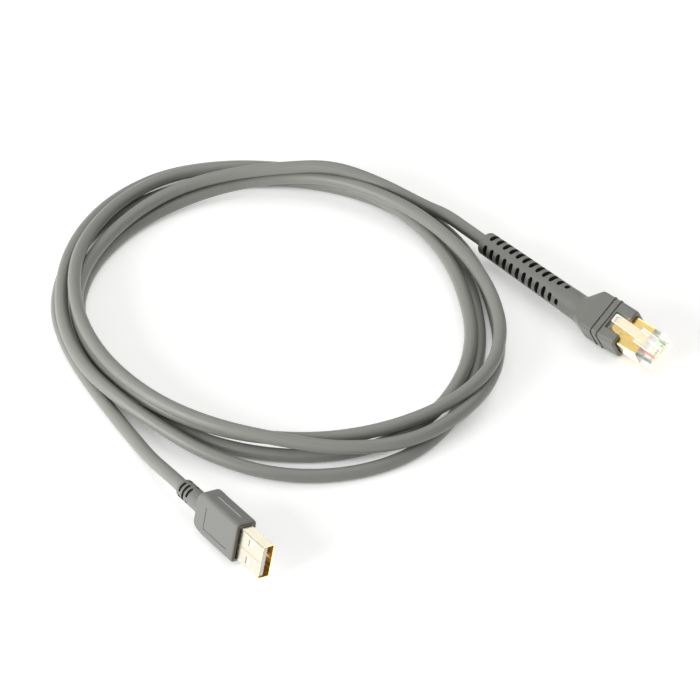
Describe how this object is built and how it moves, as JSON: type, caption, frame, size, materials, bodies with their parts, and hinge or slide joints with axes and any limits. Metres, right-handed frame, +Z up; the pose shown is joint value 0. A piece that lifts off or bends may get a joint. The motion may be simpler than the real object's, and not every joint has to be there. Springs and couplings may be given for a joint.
{
  "type": "barcode scanner interface cable",
  "caption": "Straight interface cable for a handheld scanner: shielded modular plug with a sprung latch, long slotted strain relief, loose coil of round cable and a type A plug.",
  "frame": {"origin": "on the table under the middle of the box that holds the two plugs, without the loose cable", "axes": "+Z up from the table; +X along the modular plug, the way it is pushed in; +Y from the USB plug towards the modular plug"},
  "size_m": [0.2063, 0.1806, 0.0179],
  "materials": {
    "jacket": "matt grey cable jacket",
    "boot": "matt grey moulding with a fine grain",
    "clear": "clear moulded plastic with a faint green tint",
    "gold": "bright gold plating",
    "white_plastic": "plain white moulding",
    "tinned_steel": "tinned sheet",
    "inner_mould": "dark first moulding",
    "tinned_copper": "bare tinned strands",
    "solder": "dull solder",
    "wire_black": "insulation",
    "wire_red": "insulation",
    "wire_white": "insulation",
    "wire_green": "insulation"
  },
  "bodies": {
    "cable_assembly": {"cable_coil": "jacket", "contact_blades": "gold", "crimp_ferrule": "tinned_steel", "modular_cable_end": "jacket", "modular_drain_wire": "tinned_copper", "modular_housing": "clear", "modular_inner_mould": "inner_mould", "modular_lead": "jacket", "modular_overmould": "boot", "modular_wire_black": "wire_black", "modular_wire_green": "wire_green", "modular_wire_red": "wire_red", "modular_wire_white": "wire_white", "shield_sleeve": "gold", "usb_cable_end": "jacket", "usb_contacts": "gold", "usb_drain_wire": "tinned_copper", "usb_inner_mould": "inner_mould", "usb_insulator": "white_plastic", "usb_lead": "jacket", "usb_overmould": "boot", "usb_rear_can": "tinned_steel", "usb_shell": "gold", "usb_solder_joints": "solder", "usb_wire_black": "wire_black", "usb_wire_green": "wire_green", "usb_wire_red": "wire_red", "usb_wire_white": "wire_white", "wire_guide": "clear"},
    "latch": {"modular_latch": "clear"}
  },
  "joints": [
    {"name": "latch_press", "type": "hinge", "parent": "cable_assembly", "child": "latch", "pos_m": [0.04205, 0.07927, 0.01201], "axis": [0, -0.8763, -0.4818], "range_deg": [0, 15], "stiffness_Nm_per_rad": 0.02}
  ]
}
